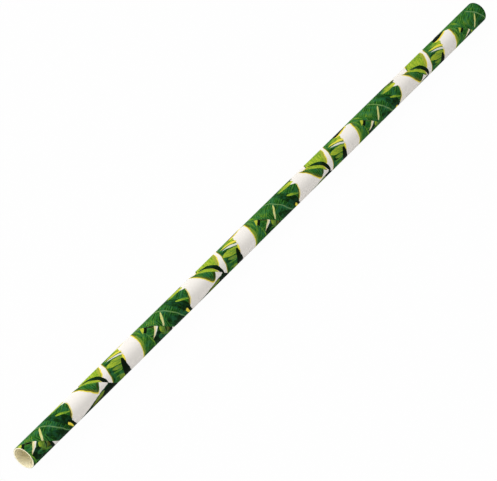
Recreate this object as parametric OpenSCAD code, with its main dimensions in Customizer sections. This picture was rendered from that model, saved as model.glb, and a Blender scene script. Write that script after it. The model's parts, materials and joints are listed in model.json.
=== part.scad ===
// Paper drinking straw: three paper strips wound one on the other along the same
// right-hand helix and glued into one wall, then cut square to length. It lies on its
// side along X, with the floor at z = 0. The top strip and the bore strip are butted
// edge to edge, so each leaves a hairline groove that runs round the straw as a helix.

/* [Straw] */
// Length between the two square cuts
straw_length = 197; // [100:1:230]
// Outer diameter
straw_d = 6.0; // [5:0.1:8]
// Width of the flat along the underside, on which the damp straw lay to dry
flat_w = 1.0; // [0.4:0.1:1.4]

/* [Paper] */
// Thickness of the top strip, the one that takes the print
top_paper = 0.08; // [0.05:0.01:0.2]
// Thickness of the hidden middle strip
middle_paper = 0.14; // [0.08:0.01:0.3]
// Thickness of the strip that lines the bore
bore_paper = 0.14; // [0.08:0.01:0.3]
// Width of a strip across its own length
strip_w = 14.5; // [12:0.1:15]
// Gap left between neighbouring edges of a strip
seam_gap = 0.1; // [0.05:0.01:0.4]
// How far glue fills that gap, from its floor
glue_fill = 0.03; // [0:0.01:0.04]
// Angle of the top seam at the near end, from the top of the straw
seam_start = 315; // [0:1:359]
// Height of the bevel that the knife presses into each cut edge
cut_bevel = 0.04; // [0.01:0.01:0.1]

/* [Hidden] */
$fn = 96;
outer_r = straw_d / 2;
wall = top_paper + middle_paper + bore_paper;
bore_r = outer_r - wall;
// Height of the straw's axis, which the flat brings a hair below the radius
axis_h = sqrt(outer_r * outer_r - flat_w * flat_w / 4);
// A strip laid edge to edge fills one lead in each turn, which fixes its angle.
wind_angle = asin(strip_w / (PI * straw_d));
lead = PI * straw_d * tan(wind_angle);
// The bore strip's seam lies half a turn away, so that no two seams meet.
bore_seam_start = seam_start + 180;
// Straight steps that a groove takes in one turn
seam_steps = 36;
// How far a cutting shape runs past the paper that it cuts
run_out = 0.5;

// Point on the helix: along is measured from the near end, r from the straw's axis.
function helix_point(along, r, start) =
    let (turn = start + 360 * along / lead)
    [along - straw_length / 2, -r * sin(turn), axis_h + r * cos(turn)];

// Groove that a seam leaves, from radius r_in to r_out, as one closed helical bar.
module seam_groove(r_in, r_out, start) {
    half_width = seam_gap / cos(wind_angle) / 2;
    step = lead / seam_steps;
    count = ceil((straw_length + 2 * run_out) / step);
    // Its inner side just touches r_in in the middle of each straight step.
    corner_r = r_in / cos(180 / seam_steps);
    // The bar's section, as its offset along the straw and its radius
    corners = [
        [-half_width, corner_r],
        [half_width, corner_r],
        [half_width, r_out],
        [-half_width, r_out]
    ];
    points = [
        for (i = [0 : count])
            for (corner = corners)
                helix_point(i * step - run_out, corner[1], start) + [corner[0], 0, 0]
    ];
    sides = [
        for (i = [0 : count - 1])
            for (k = [0 : 3])
                let (a = 4 * i + k, b = 4 * i + (k + 1) % 4)
                for (face = [[b, a, b + 4], [b + 4, a, a + 4]]) face
    ];
    ends = [[0, 1, 2, 3], [for (k = [3 : -1 : 0]) 4 * count + k]];
    polyhedron(points = points, faces = concat(sides, ends), convexity = 12);
}

// The glued wall, turned from its half section with bevelled corners.
module wound_wall() {
    translate([-straw_length / 2, 0, axis_h])
        rotate([0, 90, 0])
            rotate_extrude()
                polygon([
                    [bore_r, cut_bevel],
                    [bore_r + cut_bevel, 0],
                    [outer_r - cut_bevel, 0],
                    [outer_r, cut_bevel],
                    [outer_r, straw_length - cut_bevel],
                    [outer_r - cut_bevel, straw_length],
                    [bore_r + cut_bevel, straw_length],
                    [bore_r, straw_length - cut_bevel]
                ]);
}

// What the drying rack takes off the round underside.
module resting_flat() {
    translate([-straw_length / 2 - run_out, -outer_r, -outer_r])
        cube([straw_length + 2 * run_out, straw_d, outer_r]);
}

module straw() {
    color("mediumseagreen")
        difference() {
            wound_wall();
            resting_flat();
            seam_groove(outer_r - top_paper + glue_fill, outer_r + run_out, seam_start);
            seam_groove(bore_r - run_out, bore_r + bore_paper - glue_fill, bore_seam_start);
        }
}

straw();
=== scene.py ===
import json
import math

import bpy
from mathutils import Matrix, Vector


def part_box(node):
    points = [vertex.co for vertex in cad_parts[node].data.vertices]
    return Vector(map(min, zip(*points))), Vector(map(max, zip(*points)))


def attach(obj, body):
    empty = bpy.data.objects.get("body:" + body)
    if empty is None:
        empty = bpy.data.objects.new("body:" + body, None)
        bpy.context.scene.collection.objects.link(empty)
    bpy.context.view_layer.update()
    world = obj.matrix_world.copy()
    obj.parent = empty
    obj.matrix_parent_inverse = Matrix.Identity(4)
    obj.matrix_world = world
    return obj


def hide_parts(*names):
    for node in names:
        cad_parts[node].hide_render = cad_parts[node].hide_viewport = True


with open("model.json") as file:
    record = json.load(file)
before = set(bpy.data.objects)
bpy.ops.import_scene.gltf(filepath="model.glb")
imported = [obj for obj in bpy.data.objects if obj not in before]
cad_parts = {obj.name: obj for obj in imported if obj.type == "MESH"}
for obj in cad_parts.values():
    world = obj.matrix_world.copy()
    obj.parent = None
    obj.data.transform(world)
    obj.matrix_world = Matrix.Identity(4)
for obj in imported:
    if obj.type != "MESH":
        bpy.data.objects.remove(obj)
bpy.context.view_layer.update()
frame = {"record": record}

# A spirally wound paper straw with a leaf print. Lengths are in metres, and mm turns
# millimetres into them. The print is drawn in millimetres on the flat strip of paper.
mm = 0.001
turn = 2 * math.pi


# Wires and boards: node trees written as sums
class Wire:                                    # an output; arithmetic on it adds nodes
    def __init__(self, board, socket):
        self.board = board
        self.socket = socket

    def pick(self, name):                      # another output of the same node
        return Wire(self.board, self.socket.node.outputs[name])

    def __add__(self, other):
        return self.board.math("ADD", self, other)

    def __radd__(self, other):
        return self.board.math("ADD", other, self)

    def __sub__(self, other):
        return self.board.math("SUBTRACT", self, other)

    def __rsub__(self, other):
        return self.board.math("SUBTRACT", other, self)

    def __mul__(self, other):
        return self.board.math("MULTIPLY", self, other)

    def __rmul__(self, other):
        return self.board.math("MULTIPLY", other, self)

    def __truediv__(self, other):
        return self.board.math("DIVIDE", self, other)

    def __rtruediv__(self, other):
        return self.board.math("DIVIDE", other, self)

    def __pow__(self, other):
        return self.board.math("POWER", self, other)

    def __neg__(self):
        return self.board.math("MULTIPLY", self, -1.0)

    def __abs__(self):
        return self.board.math("ABSOLUTE", self)

    def __gt__(self, other):
        return self.board.math("GREATER_THAN", self, other)

    def __lt__(self, other):
        return self.board.math("LESS_THAN", self, other)


class Board:                                   # a node tree, and short ways to add to it
    def __init__(self, tree):
        self.tree = tree

    def add(self, kind, settings=None, inputs=None, out=0):
        node = self.tree.nodes.new(kind)
        for name, value in (settings or {}).items():
            if name == "stops":
                self.setStops(node.color_ramp, value)
            else:
                setattr(node, name, value)
        for name, value in (inputs or {}).items():
            if isinstance(value, Wire):
                self.tree.links.new(value.socket, node.inputs[name])
            else:
                node.inputs[name].default_value = value
        return Wire(self, node.outputs[out] if len(node.outputs) else None)

    def setStops(self, ramp, stops):
        while len(ramp.elements) < len(stops):
            ramp.elements.new(1.0)
        for element, (place, colour) in zip(ramp.elements, stops):
            element.position = place
            element.color = colour

    def math(self, operation, *values):
        return self.add("ShaderNodeMath", {"operation": operation}, dict(enumerate(values)))

    def line(self, value, slope, start):       # value * slope + start
        return self.math("MULTIPLY_ADD", value, slope, start)

    def clamp(self, value):                    # a node of its own keeps the shader's order
        return self.add("ShaderNodeClamp", None, {"Value": value})

    def vector(self, x, y, z):
        return self.add("ShaderNodeCombineXYZ", None, {0: x, 1: y, 2: z})

    def parts(self, vector):
        split = self.add("ShaderNodeSeparateXYZ", None, {0: vector})
        return split, split.pick("Y"), split.pick("Z")

    def mixVector(self, factor, first, second):
        inputs = {0: factor, 4: first, 5: second}
        return self.add("ShaderNodeMix", {"data_type": "VECTOR"}, inputs, out=1)

    def mixColour(self, factor, first, second):
        inputs = {0: factor, 6: first, 7: second}
        return self.add("ShaderNodeMix", {"data_type": "RGBA"}, inputs, out=2)

    def noise(self, vector, scale, detail=2.0, rough=0.5, flat=False, out="Fac"):
        settings = {"noise_dimensions": "2D" if flat else "3D"}
        inputs = {"Vector": vector, "Scale": scale, "Detail": detail, "Roughness": rough}
        return self.add("ShaderNodeTexNoise", settings, inputs, out=out)


def ink(red, green, blue):                     # a colour as a screen shows it, 0 to 255
    def linear(level):
        level = level / 255
        return level / 12.92 if level < 0.04045 else ((level + 0.055) / 1.055) ** 2.4
    return (linear(red), linear(green), linear(blue), 1.0)


def newMaterial(name):
    material = bpy.data.materials.new(name)
    material.use_nodes = True
    material.node_tree.nodes.clear()
    return material, Board(material.node_tree)


def finishMaterial(board, surface):
    board.add("ShaderNodeOutputMaterial", None, {"Surface": surface})


# Straw sizes: the frame gives the outside, the bore and the axis
mounts = {mount["name"]: mount for mount in frame["record"]["mounts"]}
low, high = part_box("straw")
straw = {
    "length": high.x - low.x,
    "radius": mounts["barrel"]["dims"]["r_mm"] * mm,
    "boreRadius": mounts["bore"]["dims"]["r_mm"] * mm,
    "axisHeight": mounts["barrel"]["pos_m"][2],
    "topPaper": 0.08 * mm,
    "borePaper": 0.14 * mm,
    "stripWidth": 14.5 * mm,
    "seamGap": 0.1 * mm,
    "glueFill": 0.03 * mm,
    "seamStart": math.radians(315),
}
windAngle = math.asin(straw["stripWidth"] / (turn * straw["radius"]))
lead = turn * straw["radius"] * math.tan(windAngle)
gapAngle = turn * straw["seamGap"] / math.cos(windAngle) / lead


# Camera, at the photograph's angle
cameraSettings = {
    "azimuth": math.radians(-54.96),
    "elevation": math.radians(43.73),
    "sensor": 36.0,
    "imageWidth": 497,
    "focalPixels": 3013.3,
    "nearest": 0.01,                           # where the camera starts to see
    "endAhead": 693.9 * mm,                    # the near end's middle, seen from the camera
    "endRight": -51.785 * mm,
    "endDown": 50.115 * mm,
}


def makeCamera(settings):
    az = settings["azimuth"]
    el = settings["elevation"]
    back = Vector((math.sin(az) * math.cos(el), -math.cos(az) * math.cos(el), math.sin(el)))
    right = Vector((math.cos(az), math.sin(az), 0.0))
    up = back.cross(right)
    nearEnd = Vector((-straw["length"] / 2, 0.0, straw["axisHeight"]))
    data = bpy.data.cameras.new("camera")
    data.sensor_width = settings["sensor"]
    data.lens = settings["sensor"] * settings["focalPixels"] / settings["imageWidth"]
    data.clip_start = settings["nearest"]
    camera = bpy.data.objects.new("camera", data)
    bpy.context.collection.objects.link(camera)
    shift = right * settings["endRight"] - up * settings["endDown"]
    place = nearEnd - shift + back * settings["endAhead"]
    facing = Matrix((right, up, back)).transposed().to_4x4()
    camera.matrix_world = Matrix.Translation(place) @ facing
    bpy.context.scene.camera = camera


makeCamera(cameraSettings)
print("camera set")


# Wound strips: one tree makes every ply and every bead of glue. A block of unit size is
# wrapped round the straw: its X runs along the straw, its Y round it and its Z outwards.
stripInputs = {
    "Length": "Float",
    "Lead": "Float",
    "Inner Radius": "Float",
    "Outer Radius": "Float",
    "Axis Height": "Float",
    "Start Angle": "Float",
    "Width Angle": "Float",
    "Rings": "Int",
    "Columns": "Int",
    "Layers": "Int",
    "Outer Bevel": "Float",
    "Inner Bevel": "Float",
    "Edge Bevel": "Float",
    "Edge Dip": "Float",
    "Recess": "Float",
    "Fray": "Float",
    "Ripple": "Float",
    "Shown Side": "Float",
    "Seed": "Float",
    "Paper": "Material",
}
bakeSheet = {                                  # places on the baking map, in millimetres
    "side": 66.5,
    "margin": 0.4,
    "blocks": 3,                               # lengths that the shown side is laid out in
    "gutter": 0.9,
    "edges": 59.6,
    "edgeDepth": 0.4,
    "edgePitch": 0.8,
    "hiddenSide": 61.6,
    "hiddenWidth": 1.2,
    "ends": 63.6,
    "endDepth": 0.9,
    "endGirth": 30,
    "endPitch": 33,
}
paperGive = {                                  # how the paper gives way as it is wound and cut
    "dipReach": 0.3 * mm,                      # how far in from the seam its edge is drawn down
    "rippleScale": 0.35,
    "rippleAround": 3,
    "frayScale": 4.0,
    "frayDetail": 3.0,
    "frayRough": 0.7,
    "endsApart": 5,                            # sets one cut's fray apart from the other's
}


def woundStripTree(sheet, give):
    tree = bpy.data.node_groups.new("woundStrip", "GeometryNodeTree")
    board = Board(tree)
    tree.interface.new_socket("Geometry", in_out="OUTPUT", socket_type="NodeSocketGeometry")
    for name, kind in stripInputs.items():
        tree.interface.new_socket(name, in_out="INPUT", socket_type="NodeSocket" + kind)
    given = board.add("NodeGroupInput")
    length, rings, columns = (given.pick(name) for name in ("Length", "Rings", "Columns"))
    wideAngle = given.pick("Width Angle")
    bevel = given.pick("Outer Bevel")
    block = board.add("GeometryNodeMeshCube", None, {
        "Vertices X": rings + 1,
        "Vertices Y": columns + 1,
        "Vertices Z": given.pick("Layers") + 1,
    })
    place = board.add("GeometryNodeInputPosition")
    x, y, z = board.parts(place)
    ring = (x + 0.5) * rings
    column = (0.5 - y) * columns
    depth = z + 0.5
    # The first and last rings are as short as the pressed bevel
    ringMiddle = board.math("SUBTRACT", rings, 2.0)
    inner = board.clamp((ring - 1) / ringMiddle)
    ends = board.clamp(ring) + board.clamp(ring - rings + 1)
    along = bevel * ends + (length - 2 * bevel) * inner
    around = wideAngle * column / columns

    # Maps, one in millimetres on the flat strip and one for baking
    facePlace = board.add("GeometryNodeFieldOnDomain",
                          {"data_type": "FLOAT_VECTOR", "domain": "FACE"}, {0: place})
    faceX, faceY, faceZ = board.parts(facePlace)
    flush = 0.4999                             # the unit block's faces lie at 0.5
    onEnd = abs(faceX) > flush
    onEdge = abs(faceY) > flush
    onShown = faceZ * given.pick("Shown Side") > flush
    onHidden = faceZ * given.pick("Shown Side") < -flush
    across = around * (straw["stripWidth"] / turn / mm)
    lengthwise = along / (math.sin(windAngle) * mm) + around * (
        straw["radius"] * math.cos(windAngle) / mm)
    blockRings = ringMiddle / sheet["blocks"]
    blockIndex = board.math("MAXIMUM", ((faceX + 0.5) * rings - 1) / blockRings, 0.0)
    blockIndex = board.math("MINIMUM", board.math("FLOOR", blockIndex), sheet["blocks"] - 1.0)
    blockLength = (length - 2 * bevel) / sheet["blocks"]
    girth = turn * straw["radius"] / mm
    margin = sheet["margin"]
    evenly = along / length * (sheet["side"] - 2 * margin) + margin
    lastHalf = faceX > 0
    shownU = margin + blockIndex * (girth + sheet["gutter"]) + around * (girth / turn)
    shownV = margin + (along - blockIndex * blockLength) / mm
    edgeU = sheet["edges"] + depth * sheet["edgeDepth"] + (faceY > 0) * sheet["edgePitch"]
    hiddenU = sheet["hiddenSide"] + around * (sheet["hiddenWidth"] / turn)
    endU = sheet["ends"] + depth * sheet["endDepth"]
    endV = margin + around * (sheet["endGirth"] / turn) + lastHalf * sheet["endPitch"]
    bakeU = onShown * shownU + onEdge * edgeU + onHidden * hiddenU + onEnd * endU
    bakeV = onShown * shownV + (onEdge + onHidden) * evenly + onEnd * endV
    stored = block
    for name, u, v in (("stripMap", lengthwise, across),
                       ("OFBake", bakeU / sheet["side"], bakeV / sheet["side"])):
        stored = board.add("GeometryNodeStoreNamedAttribute",
                           {"data_type": "FLOAT2", "domain": "CORNER"},
                           {"Geometry": stored, "Name": name, "Value": board.vector(u, v, 0.0)})
    stored = board.add("GeometryNodeStoreNamedAttribute",
                       {"data_type": "FLOAT", "domain": "CORNER"},
                       {"Geometry": stored, "Name": "shownFace", "Value": onShown})

    # Shape: bevelled ends, dipped and softened edges, a slight ripple and a frayed cut
    atEnd = abs(x) > flush
    atEdge = abs(y) > flush
    atTop = z > flush
    atBottom = z < -flush
    radius = given.pick("Inner Radius")
    outer = given.pick("Outer Radius")
    seamAway = board.math("MINIMUM", around, wideAngle - around) * outer
    dip = given.pick("Edge Dip") * board.math("EXPONENT", seamAway / -give["dipReach"])
    ripplePlace = board.vector(along / mm, around * give["rippleAround"], given.pick("Seed"))
    ripple = (board.noise(ripplePlace, give["rippleScale"]) - 0.5) * given.pick("Ripple")
    radius = radius + (outer - radius) * depth
    radius = radius + atTop * (ripple - dip - atEnd * bevel - atEdge * given.pick("Edge Bevel"))
    radius = radius + atBottom * atEnd * given.pick("Inner Bevel")
    angle = given.pick("Start Angle") + along / lead * turn + around
    cutPlace = board.vector(board.math("COSINE", angle) * radius / mm,
                            board.math("SINE", angle) * radius / mm,
                            (x > 0) * give["endsApart"] + given.pick("Seed"))
    frayed = board.noise(cutPlace, give["frayScale"], give["frayDetail"], give["frayRough"])
    frayed = frayed * given.pick("Fray") + given.pick("Recess")
    along = along - atEnd * board.math("SIGN", x) * frayed
    height = given.pick("Axis Height") + radius * board.math("COSINE", angle)
    wound = board.vector(along - length / 2, -(radius * board.math("SINE", angle)),
                         board.math("MAXIMUM", height, 0.0))
    shaped = board.add("GeometryNodeSetPosition", None, {"Geometry": stored, "Position": wound})
    smooth = board.add("GeometryNodeSetShadeSmooth", None, {"Geometry": shaped})
    real = board.add("GeometryNodeRealizeInstances", None, {"Geometry": smooth})
    dressed = board.add("GeometryNodeSetMaterial", None,
                        {"Geometry": real, "Material": given.pick("Paper")})
    board.add("NodeGroupOutput", None, {"Geometry": dressed})
    return tree


def makePiece(name, tree, values, sharpAngle):
    piece = bpy.data.objects.new(name, bpy.data.meshes.new(name))
    modifier = piece.modifiers.new("made", "NODES")
    modifier.node_group = tree
    for item in tree.interface.items_tree:
        if item.in_out == "INPUT" and item.name in values:
            modifier[item.identifier] = values[item.name]
    bpy.context.collection.objects.link(piece)
    shown = piece.evaluated_get(bpy.context.evaluated_depsgraph_get())
    mesh = bpy.data.meshes.new_from_object(shown)
    piece.modifiers.remove(modifier)
    piece.data = mesh
    mesh.set_sharp_from_angle(angle=sharpAngle)
    mesh.uv_layers["stripMap"].active_render = True
    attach(piece, "root")
    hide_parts("straw")
    return piece


# Print: leaves drawn as blades on the flat strip, in millimetres. U runs along the strip
# and V across it. Each blade goes from one end to the other and covers what is under it.
# tone: 0 is black green and 1 is lime, at its two ends; powers: how blunt its two ends are;
# bend: how far its middle is pushed to its right; rim: width of its yellow rim;
# veins: 0.5 for side veins, 1 for a midrib too; side: tone added from its left to its
# right; yellow and paper: how much of each it is.
printRun = {
    "repeat": 60.25,                           # length of one print along the strip
    "start": 0.196,
    "slip": 0.0033,                            # the paper was fed a hair askew
    "slipStart": -0.275,
    "joinLean": 0.25,                          # the line where one print meets the next
    "joinStart": -3.45,
    "wander": 0.22,                            # how far a leaf's edge strays
    "wanderScale": 0.55,
    "edgeSoftness": 0.09,
    "rimEdge": (2.2, 2.3),                     # how fast, in rim widths, the yellow rim ends
    "rimFade": (0.6, 1.6),                     # and the olive inside it
    "rimFadeYellow": 0.14,
    "rimFadeTone": -0.2,
    "grainShift": (3.7, 1.3),                  # gives each blade streaks of its own
}


def blade(start, end, width, tones, powers=(0.5, 0.5), bend=0.0, rim=0.0, veins=0.0,
          side=0.0, yellow=0.0, paper=0.0):
    return {
        "start": start, "end": end, "width": width, "tones": tones, "powers": powers,
        "bend": bend, "rim": rim, "veins": veins, "side": side,
        "yellow": yellow, "paper": paper,
    }


lobeGroup = [
    blade((44.6, 1.0), (45.2, 13.3), 6.7, (0.6, 0.84), (0.4, 0.06), rim=0.42),
    blade((47.3, 6.6), (47.7, 13.0), 0.8, (0.56, 0.6), bend=-0.2, yellow=0.32),
    blade((42.8, 11.0), (42.8, 15.4), 1.5, (0.8, 0.8), (0.2, 0.2)),
    blade((42.15, 11.0), (42.1, 15.2), 0.3, (0.3, 0.2), (0.2, 0.2)),
    blade((40.3, 15.8), (49.0, 15.4), 3.4, (0.4, 0.35), bend=-0.5, rim=0.3),
    blade((42.0, 14.5), (48.0, 14.5), 1.0, (0.8, 0.85), bend=-0.5),
    blade((42.4, 13.9), (50.1, 14.9), 1.3, (0.25, -0.1), (0.7, 0.4), bend=-1.3),
    blade((50.6, 3.0), (55.3, 16.8), 6.1, (0.5, 0.3), (0.2, 0.3), bend=0.55, rim=0.2),
    blade((49.4, 7.6), (54.0, 4.5), 2.0, (0.45, 0.88)),
    blade((50.4, 7.4), (54.2, 5.6), 0.55, (0.3, 0.4)),
    blade((49.5, 9.7), (54.0, 7.5), 0.8, (0.15, 0.45), bend=-0.2),
    blade((49.7, 10.6), (54.4, 8.4), 1.6, (0.8, 0.68), bend=-0.15, yellow=0.1),
    blade((51.2, 8.9), (54.9, 7.5), 0.9, (0.7, 0.72), yellow=0.1),
    blade((50.9, 9.6), (54.4, 8.1), 0.2, (0.35, 0.5)),
    blade((50.4, 11.9), (54.2, 10.2), 1.3, (0.12, 0.55), bend=-0.2),
    blade((51.2, 11.3), (54.2, 9.8), 0.9, (0.5, 0.66), yellow=0.1),
    blade((51.3, 12.2), (54.0, 10.6), 0.45, (0.62, 0.7)),
    blade((52.0, 13.2), (54.6, 11.6), 0.4, (0.6, 0.7)),
    blade((53.2, 14.3), (55.6, 12.8), 0.3, (0.6, 0.7)),
    blade((50.0, 8.5), (54.8, 6.75), 0.7, (0.5, 0.5), (0.8, 0.3), bend=-0.25, paper=0.78),
    blade((49.6, 8.1), (54.5, 5.8), 0.75, (0.86, 0.95), (0.8, 0.3), bend=-0.3, yellow=0.76),
    blade((54.4, 6.9), (54.9, 8.6), 0.6, (0.9, 0.9), yellow=1.0),
    blade((53.4, 12.7), (57.0, 12.2), 1.7, (0.55, 0.62), yellow=0.12),
    blade((53.8, 8.2), (60.5, 11.6), 2.4, (-0.15, -0.05), (0.4, 0.5), bend=1.7),
    blade((52.6, 4.8), (57.2, -1.8), 2.1, (0.9, 0.9), (0.45, 0.35), yellow=1.0),
    blade((52.15, 4.5), (57.0, -2.2), 2.1, (-0.1, -0.3), (0.35, 0.35)),
]
fanGroup = [
    blade((-2.9, -0.4), (14.1, 10.5), 10.3, (0.44, 0.3), (1.0, 0.8), rim=0.5, veins=0.5),
    blade((3.0, -2.6), (9.6, 1.6), 4.2, (0.3, 0.2), (0.5, 0.5)),
    blade((-1.9, -0.3), (0.2, 2.6), 0.9, (0.6, 0.5)),
    blade((1.4, 7.3), (6.6, 4.6), 1.9, (0.28, 0.1)),
    blade((1.3, -0.7), (3.6, 0.0), 1.2, (-0.1, 0.0), (0.4, 0.5)),
    blade((1.4, -0.7), (1.0, 2.2), 1.3, (0.0, -0.3), (0.3, 0.6)),
    blade((1.5, 2.1), (3.5, 0.8), 1.3, (0.36, 0.44)),
    blade((3.3, 3.0), (12.4, 1.0), 3.6, (0.08, 0.0), (0.4, 0.6)),
    blade((4.9, 2.5), (9.6, 0.8), 1.8, (0.32, 0.24)),
    blade((9.3, -0.3), (5.15, 0.6), 2.0, (-0.1, 0.8), (0.5, 0.3), yellow=0.09),
    blade((5.4, 1.7), (10.2, 1.0), 0.7, (0.46, 0.36), yellow=0.06),
    blade((5.6, 1.9), (6.6, -0.5), 0.16, (0.4, 0.5)),
    blade((6.4, 1.7), (7.0, -0.4), 0.2, (0.3, 0.45)),
    blade((6.9, -0.6), (7.5, 1.4), 0.45, (-0.1, 0.15)),
    blade((7.9, -0.6), (11.4, 1.3), 1.1, (-0.1, -0.2)),
    blade((8.9, -0.7), (12.6, 0.8), 1.0, (0.5, 0.5), (0.5, 0.3), paper=1.0),
    blade((4.75, -0.7), (3.6, 2.7), 0.55, (0.5, 0.5), (0.3, 0.7), paper=1.0),
    blade((4.3, -0.7), (3.3, 3.2), 0.6, (0.95, 0.9), (0.3, 0.7), yellow=0.8, paper=0.45),
    blade((0.9, -0.8), (0.45, 2.1), 0.95, (0.9, 0.8), (0.3, 0.8), yellow=0.22),
    blade((-1.5, 1.9), (1.2, 7.1), 0.95, (0.56, 0.62), yellow=0.12),
    blade((0.5, 1.7), (0.2, 6.2), 0.35, (0.68, 0.55)),
    blade((-0.6, 2.4), (0.9, 6.6), 0.3, (0.58, 0.5), bend=-0.2),
    blade((0.4, 1.4), (9.0, 7.5), 0.42, (0.6, 0.72), (0.4, 0.5), side=0.1),
]
bigGroup = [
    blade((12.0, 10.5), (25.2, 2.55), 4.6, (0.45, 0.15), (0.6, 0.5), veins=0.5),
    blade((5.2, 14.6), (30.4, 11.2), 14.4, (0.56, 0.2), (0.5, 0.85), veins=0.5),
    blade((15.8, 9.4), (18.4, 6.3), 0.28, (0.6, 0.58), bend=0.2),
    blade((16.9, 9.6), (19.3, 6.3), 0.28, (0.58, 0.62), bend=0.2),
    blade((17.1, 8.1), (26.65, 6.5), 5.4, (0.38, 0.34), (1.3, 0.12), veins=0.5),
    blade((24.4, 4.35), (26.5, 3.4), 0.8, (0.5, 0.5), (0.6, 0.2), paper=1.0),
    blade((26.2, 4.2), (26.3, 9.0), 0.5, (0.1, 0.0), (0.4, 0.4), bend=-0.3, yellow=0.1),
    blade((25.9, 4.0), (26.6, 9.2), 0.4, (0.9, 0.9), (0.4, 0.4), bend=-0.6, yellow=0.95,
          paper=0.25),
    blade((20.6, 6.2), (24.7, 2.6), 1.5, (0.62, 0.72), (0.6, 0.4)),
    blade((22.4, 3.2), (25.6, 1.4), 1.1, (0.3, 0.2), (0.5, 0.4), yellow=0.08),
    blade((20.9, 6.6), (25.5, 2.9), 1.15, (0.62, 1.02), (0.7, 0.35), yellow=0.15),
    blade((19.3, 6.9), (26.8, 9.3), 2.6, (0.28, 0.05), (0.5, 0.3), bend=0.3),
    blade((22.7, 7.8), (26.7, 6.9), 0.7, (0.8, 0.7), (0.35, 0.6)),
    blade((19.5, 12.7), (29.0, 12.9), 2.8, (0.26, -0.05)),
    blade((15.8, 9.1), (27.6, 11.45), 0.44, (0.62, 0.5), (0.2, 0.4), bend=0.48, paper=0.08),
    blade((18.4, 10.3), (18.3, 13.9), 0.66, (0.76, 0.94), (0.4, 0.3), bend=0.1, yellow=0.4,
          paper=0.2),
    blade((18.3, 12.4), (18.4, 14.3), 0.62, (0.9, 0.94), (0.6, 0.3), yellow=0.35, paper=0.35),
    blade((10.6, 12.8), (13.2, 14.4), 0.8, (0.66, 0.6)),
    blade((25.7, 9.8), (28.7, 10.65), 0.78, (0.95, 0.95), (0.15, 0.8), yellow=1.0),
    blade((26.4, 10.85), (30.0, 11.7), 0.45, (-0.3, -0.3)),
    blade((25.6, 9.1), (30.6, 10.5), 0.66, (-0.3, -0.4), (0.4, 0.3), bend=-0.05),
]
bigGroup += [
    blade((14.1 + 0.4 * step, 14.2), (14.5 + 0.42 * step, 12.2), 0.22, (0.85, 0.6))
    for step in range(5)
]
topGroup = [
    blade((27.2, -0.4), (35.0, -0.4), 6.2, (0.45, 0.35), (0.65, 0.1), rim=0.42, veins=0.5),
    blade((28.6, -0.3), (34.2, 0.0), 0.8, (0.62, 0.56)),
    blade((34.6, -0.7), (34.4, 2.3), 0.6, (0.12, 0.14), yellow=0.03),
    blade((30.9, 9.6), (44.1, -4.2), 3.45, (0.1, -0.35), (0.6, 0.3), bend=-0.3, side=-0.3),
    blade((33.7, 5.8), (36.7, 1.6), 1.2, (0.25, 0.54), (0.6, 0.5), yellow=0.14),
]
backGroup = [                                  # the side that the photograph doesn't show
    blade((10.6, 2.0), (23.6, 3.4), 4.0, (0.3, 0.5), (0.5, 0.7), bend=-0.5, rim=0.28, veins=1.0),
    blade((13.6, 7.2), (19.8, 4.6), 1.7, (0.9, 0.75), (0.5, 0.7), rim=0.1),
    blade((1.4, 14.9), (9.0, 10.9), 3.2, (0.2, 0.4), (0.5, 0.7), rim=0.25, veins=1.0),
    blade((34.0, 12.0), (44.0, 7.2), 3.4, (0.4, 0.75), (0.5, 0.7), bend=0.4, rim=0.28, veins=1.0),
    blade((43.5, 6.0), (50.8, 0.6), 3.2, (0.3, 0.2), (0.5, 0.7), rim=0.25, veins=1.0),
    blade((29.0, 15.2), (36.8, 13.0), 2.6, (0.1, 0.3), (0.5, 0.7), rim=0.2),
]


def paintBlade(board, u, v, marks, tints, one):
    startU, startV = one["start"]
    endU, endV = one["end"]
    span = math.hypot(endU - startU, endV - startV)
    stepU = (endU - startU) / span
    stepV = (endV - startV) / span
    first, last = one["powers"]
    peak = first / (first + last)
    crest = peak ** first * (1 - peak) ** last
    # share: 0 to 1 along the blade; aside: to its right from its middle line
    share = board.line(v, stepV / span, -(startU * stepU + startV * stepV) / span)
    share = board.clamp(board.line(u, stepU / span, share))
    aside = board.line(v, stepU, startU * stepV - startV * stepU)
    aside = board.line(u, -stepV, aside)
    rest = 1 - share
    if one["bend"]:
        aside = board.line(share * rest, -4 * one["bend"], aside)
    half = share ** first * rest ** last * (one["width"] / 2 / crest)
    inside = half - abs(aside)
    mask = inside / printRun["edgeSoftness"]
    tone = board.line(share, one["tones"][1] - one["tones"][0], one["tones"][0])
    if one["side"]:
        tone = board.line(aside, one["side"] * 2 / one["width"], tone)
    yellow = one["yellow"]
    if one["rim"]:
        edgeSlope, edgeStart = printRun["rimEdge"]
        fadeSlope, fadeStart = printRun["rimFade"]
        rimmed = board.clamp(board.line(inside, -edgeSlope / one["rim"], edgeStart))
        within = board.clamp(board.line(inside, -fadeSlope / one["rim"], fadeStart))
        tone = board.line(within, printRun["rimFadeTone"], tone)
        faded = board.line(within, printRun["rimFadeYellow"], yellow)
        yellow = board.math("MAXIMUM", rimmed, faded)
    shiftU, shiftV = printRun["grainShift"]
    grainStart = shiftU * startU + shiftV * startV
    lengthwise = board.line(share, span, grainStart)
    marks = board.mixVector(mask, marks, board.vector(lengthwise, aside, one["veins"]))
    tints = board.mixVector(mask, tints, board.vector(tone, yellow, one["paper"]))
    return marks, tints


leafInks = [
    (0.00, ink(8, 22, 8)),
    (0.20, ink(16, 49, 14)),
    (0.40, ink(40, 99, 32)),
    (0.60, ink(80, 136, 46)),
    (0.80, ink(148, 178, 44)),
    (1.00, ink(196, 210, 70)),
]
paperInks = {
    "white": ink(246, 241, 234),
    "yellow": ink(250, 230, 84),
    "amber": ink(238, 200, 50),
    "teal": ink(48, 118, 82),
    "rib": ink(122, 158, 92),
    "core": ink(214, 212, 176),
}


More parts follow.
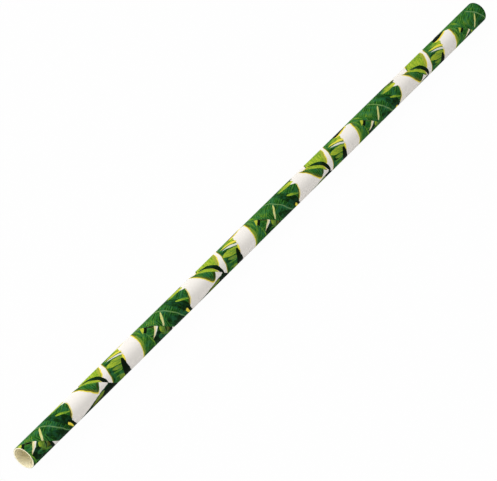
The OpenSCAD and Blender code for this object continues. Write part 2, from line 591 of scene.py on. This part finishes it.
grainMarks = {                                 # fibres pressed flat, with a soft unevenness
    "height": 0.02 * mm,
    "fineScale": 5.0,
    "fineDetail": 4.0,
    "fineRough": 0.65,
    "fineShare": 0.7,
    "broadScale": 0.9,
    "broadShare": 0.6,
}


def paperGrain(board, place, strength):
    fine = board.noise(place, grainMarks["fineScale"], grainMarks["fineDetail"],
                       grainMarks["fineRough"])
    broad = board.noise(place, grainMarks["broadScale"])
    return board.add("ShaderNodeBump", None, {
        "Strength": strength,
        "Distance": grainMarks["height"],
        "Height": fine * grainMarks["fineShare"] + broad * grainMarks["broadShare"],
    })


inkMarks = {                                   # scales are per millimetre of a blade or the strip
    "brushLong": 0.5,
    "brushAcross": 2.8,
    "brushDetail": 4.0,
    "brushRough": 0.6,
    "brushTone": 2.0,                          # how much the streaks show in the middle greens
    "brushLeast": 0.3,                         # and in the darkest and lightest
    "veinSlant": 0.7,
    "veinLong": 2.2,
    "veinAcross": 0.35,
    "veinPitch": 9.0,
    "veinWander": 4,
    "veinTone": 0.09,
    "wanderScale": 0.7,
    "wanderDetail": 1.0,
    "speckScale": 3.6,
    "speckDetail": 3.0,
    "speckRough": 0.65,
    "speckTone": 0.45,
    "tealEdge": 3,                             # how sharply a teal patch ends, and where
    "tealStart": 1.25,
    "tealReach": 1.5,                          # twice the tone at which teal has faded out
    "tealGain": 4,
    "tealShare": 0.45,
    "ribEdge": 1.5,                            # full over its width, gone one width further out
    "ribWidth": 0.14,
    "ribShare": 0.8,
    "roughness": 0.58,
    "speckRoughness": 0.14,
    "paperRoughness": 0.08,
    "gloss": 0.025,
    "grain": 0.35,
}


def printedPaper(settings):
    material, board = newMaterial("printedPaper")
    place = board.add("ShaderNodeUVMap", {"uv_map": "stripMap"})
    flatU, flatV = board.parts(place)[:2]
    stray = board.noise(place, printRun["wanderScale"], flat=True, out="Color")
    strayU, strayV = board.parts(stray)[:2]
    v = board.line(flatU, printRun["slip"], printRun["slipStart"]) + flatV
    v = board.line(strayV - 0.5, 2 * printRun["wander"], v)
    u = board.line(strayU - 0.5, 2 * printRun["wander"], flatU - printRun["start"])
    lean = board.line(v, printRun["joinLean"], printRun["joinStart"])
    u = board.math("FLOORED_MODULO", u - lean, printRun["repeat"]) + lean
    marks = board.vector(flatU, flatV, 0.0)
    tints = board.vector(0.0, 0.0, 1.0)
    for group in (backGroup, lobeGroup, fanGroup, topGroup, bigGroup):
        for one in group:
            marks, tints = paintBlade(board, u, v, marks, tints, one)
    lengthwise, aside, veined = board.parts(marks)
    tone, yellow, paper = board.parts(tints)

    # Brush streaks run along a blade, side veins leave its middle, and ink specks cover all
    halfVeined = board.clamp(veined * 2)
    veinPlace = lengthwise - abs(aside) * settings["veinSlant"]
    smoothPlace = board.vector(lengthwise * settings["brushLong"],
                               aside * settings["brushAcross"], 0.0)
    veinedPlace = board.vector(veinPlace * settings["veinLong"],
                               aside * settings["veinAcross"], 0.0)
    brushPlace = board.mixVector(halfVeined, smoothPlace, veinedPlace)
    brush = board.noise(brushPlace, 1.0, settings["brushDetail"], settings["brushRough"],
                        flat=True)
    wander = board.noise(place, settings["wanderScale"], settings["wanderDetail"], flat=True)
    veins = board.math("SINE", veinPlace * settings["veinPitch"] + wander * settings["veinWander"])
    specks = board.noise(place, settings["speckScale"], settings["speckDetail"],
                         settings["speckRough"], flat=True)
    shade = board.clamp(tone)
    streaked = board.line(shade * (1 - shade), settings["brushTone"], settings["brushLeast"])
    tone = board.line((brush - 0.5) * streaked, 1.0, tone)
    tone = board.line(veins * halfVeined, settings["veinTone"], tone)
    tone = board.line(specks - 0.5, settings["speckTone"], tone)
    leaf = board.add("ShaderNodeValToRGB", {"stops": leafInks}, {0: tone})
    # Teal patches lie in the darker middle greens
    patches = board.clamp(wander * settings["tealEdge"] - settings["tealStart"])
    cool = board.clamp(shade * (settings["tealReach"] - 2 * shade) * settings["tealGain"])
    cool = patches * cool
    leaf = board.mixColour(cool * settings["tealShare"], leaf, paperInks["teal"])
    ribbed = board.clamp(board.line(abs(aside), -1 / settings["ribWidth"], settings["ribEdge"]))
    ribbed = ribbed * board.clamp(veined * 2 - 1)
    leaf = board.mixColour(ribbed * settings["ribShare"], leaf, paperInks["rib"])
    gold = board.mixColour(board.clamp(brush * 2 - 1), paperInks["yellow"], paperInks["amber"])
    leaf = board.mixColour(yellow, leaf, gold)
    printed = board.mixColour(paper, leaf, paperInks["white"])
    shown = board.add("ShaderNodeAttribute", {"attribute_name": "shownFace"}, out="Fac")
    colour = board.mixColour(shown, paperInks["core"], printed)
    rough = board.line(specks, settings["speckRoughness"], settings["roughness"])
    rough = board.line(paper, settings["paperRoughness"], rough)
    surface = board.add("ShaderNodeBsdfPrincipled", None, {
        "Base Color": colour,
        "Roughness": rough,
        "Specular IOR Level": settings["gloss"],
        "Normal": paperGrain(board, place, settings["grain"]),
    })
    finishMaterial(board, surface)
    return material


plainMarks = {
    "cloudScale": 0.8,
    "cloudDetail": 3.0,
    "cloudRough": 0.6,
    "cloudShare": 1.1,
    "fibreScale": 6.0,
    "fibreDetail": 4.0,
    "fibreRough": 0.7,
    "fibreShare": 1.3,
    "fibreRoughness": 0.15,
    "lightest": 0.75,                          # taken off, so that the light colour wins
    "gloss": 0.3,
    "grain": 0.5,
}


def plainPaper(name, light, dark, roughness):
    material, board = newMaterial(name)
    place = board.add("ShaderNodeUVMap", {"uv_map": "stripMap"})
    cloud = board.noise(place, plainMarks["cloudScale"], plainMarks["cloudDetail"],
                        plainMarks["cloudRough"])
    fibre = board.noise(place, plainMarks["fibreScale"], plainMarks["fibreDetail"],
                        plainMarks["fibreRough"])
    amount = cloud * plainMarks["cloudShare"] + fibre * plainMarks["fibreShare"]
    amount = board.clamp(amount - plainMarks["lightest"])
    colour = board.mixColour(amount, light, dark)
    surface = board.add("ShaderNodeBsdfPrincipled", None, {
        "Base Color": colour,
        "Roughness": board.line(fibre, plainMarks["fibreRoughness"], roughness),
        "Specular IOR Level": plainMarks["gloss"],
        "Normal": paperGrain(board, place, plainMarks["grain"]),
    })
    finishMaterial(board, surface)
    return material


stripTree = woundStripTree(bakeSheet, paperGive)
radiusUnder = straw["radius"] - straw["topPaper"]      # the middle strip's outside
radiusBore = straw["boreRadius"] + straw["borePaper"]  # and its inside
halfTurn = math.pi
sharpBend = math.radians(30)
common = {                                     # what a piece doesn't say itself
    "Length": straw["length"],
    "Lead": lead,
    "Axis Height": straw["axisHeight"],
    "Rings": 398,
    "Columns": 96,
    "Layers": 2,
    "Outer Bevel": 0.01 * mm,
    "Inner Bevel": 0.0,
    "Edge Bevel": 0.0,
    "Edge Dip": 0.0,
    "Recess": 0.0,
    "Ripple": 0.0,
    "Shown Side": 1.0,
}
printed = printedPaper(inkMarks)
stripPieces = {
    "printedStrip": {
        "Inner Radius": radiusUnder,
        "Outer Radius": straw["radius"],
        "Start Angle": straw["seamStart"] + gapAngle / 2,
        "Width Angle": turn - gapAngle,
        "Outer Bevel": 0.06 * mm,
        "Edge Bevel": 0.015 * mm,
        "Edge Dip": 0.015 * mm,
        "Fray": 0.02 * mm,
        "Ripple": 0.012 * mm,
        "Seed": 1.0,
        "Paper": printed,
    },
    "middleStrip": {
        "Inner Radius": radiusBore,
        "Outer Radius": radiusUnder,
        "Start Angle": straw["seamStart"] + 1.0,  # its seam meets neither of the other two
        "Width Angle": turn - 0.002,           # butted tight
        "Rings": 164,
        "Recess": 0.012 * mm,
        "Fray": 0.03 * mm,
        "Seed": 2.0,
        "Paper": plainPaper("corePaper", ink(250, 245, 224), ink(238, 226, 192), 0.7),
    },
    "boreStrip": {
        "Inner Radius": straw["boreRadius"],
        "Outer Radius": radiusBore,
        "Start Angle": straw["seamStart"] + halfTurn + gapAngle / 2,
        "Width Angle": turn - gapAngle,
        "Rings": 200,
        "Inner Bevel": 0.025 * mm,
        "Fray": 0.02 * mm,
        "Shown Side": -1.0,
        "Seed": 3.0,
        "Paper": plainPaper("borePaper", ink(252, 247, 220), ink(236, 223, 180), 0.65),
    },
    "topSeamGlue": {
        "Inner Radius": radiusUnder,
        "Outer Radius": radiusUnder + straw["glueFill"],
        "Start Angle": straw["seamStart"] - gapAngle / 2,
        "Width Angle": gapAngle,
        "Columns": 3,
        "Recess": 0.01 * mm,
        "Fray": 0.01 * mm,
        "Seed": 4.0,
        "Paper": printed,                      # clear glue, stained by the ink of both edges
    },
    "boreSeamGlue": {
        "Inner Radius": radiusBore - straw["glueFill"],
        "Outer Radius": radiusBore,
        "Start Angle": straw["seamStart"] + halfTurn - gapAngle / 2,
        "Width Angle": gapAngle,
        "Columns": 3,
        "Recess": 0.01 * mm,
        "Fray": 0.01 * mm,
        "Shown Side": -1.0,
        "Seed": 5.0,
        "Paper": plainPaper("boreGlue", ink(236, 224, 190), ink(214, 196, 150), 0.45),
    },
}
print("papers made")

for pieceName, ownSizes in stripPieces.items():
    piece = makePiece(pieceName, stripTree, common | ownSizes, sharpBend)
    print(pieceName, "wound with", len(piece.data.polygons), "faces")


# Floor, room and lamps
stageSettings = {
    "floorSide": 6.0,
    "floorColour": ink(215, 215, 215),
    "floorWhite": 0.98,                        # share of plain white that the camera sees
    "roomStrength": 0.41,
}
lampSettings = {
    "keyLamp": {"place": (-0.35, 0.54, 0.73), "size": 0.6, "power": 5.0},
    "fillLamp": {"place": (-0.15, -0.78, 0.36), "size": 0.6, "power": 1.8},
    "endLamp": {"place": (-1.0, 0.45, 0.5), "size": 0.5, "power": 5.1},
}


def seenDirectly(board):                       # 1 for the camera and what it sees by gloss
    rays = board.add("ShaderNodeLightPath")
    seen = board.math("MAXIMUM", rays.pick("Is Camera Ray"), rays.pick("Is Transmission Ray"))
    return board.math("MAXIMUM", seen, rays.pick("Is Glossy Ray"))


def makeFloor(settings):
    side = settings["floorSide"] / 2
    mesh = bpy.data.meshes.new("floor")
    mesh.from_pydata([(-side, -side, 0), (side, -side, 0), (side, side, 0), (-side, side, 0)],
                     [], [(0, 1, 2, 3)])
    floor = bpy.data.objects.new("floor", mesh)
    bpy.context.collection.objects.link(floor)
    material, board = newMaterial("floorPaper")
    matt = board.add("ShaderNodeBsdfDiffuse", None, {"Color": settings["floorColour"]})
    white = board.add("ShaderNodeEmission", None, {"Strength": 1.0})
    share = seenDirectly(board) * settings["floorWhite"]
    finishMaterial(board, board.add("ShaderNodeMixShader", None, {0: share, 1: matt, 2: white}))
    mesh.materials.append(material)


def makeRoom(settings):
    world = bpy.data.worlds.new("room")
    world.use_nodes = True
    world.node_tree.nodes.clear()
    board = Board(world.node_tree)
    pure = ink(255, 255, 255)
    light = board.add("ShaderNodeBackground", None,
                      {"Color": pure, "Strength": settings["roomStrength"]})
    white = board.add("ShaderNodeBackground", None, {"Color": pure, "Strength": 1.0})
    mixed = board.add("ShaderNodeMixShader", None, {0: seenDirectly(board), 1: light, 2: white})
    board.add("ShaderNodeOutputWorld", None, {"Surface": mixed})
    bpy.context.scene.world = world


def makeLamp(name, settings):
    data = bpy.data.lights.new(name, "AREA")
    data.energy = settings["power"]
    data.size = settings["size"]
    lamp = bpy.data.objects.new(name, data)
    lamp.location = settings["place"]
    lamp.rotation_euler = Vector(settings["place"]).to_track_quat("Z", "Y").to_euler()
    bpy.context.collection.objects.link(lamp)


makeFloor(stageSettings)
makeRoom(stageSettings)
for lampName, lamp in lampSettings.items():
    makeLamp(lampName, lamp)
bpy.context.scene.view_settings.view_transform = "Standard"
print("stage lit")
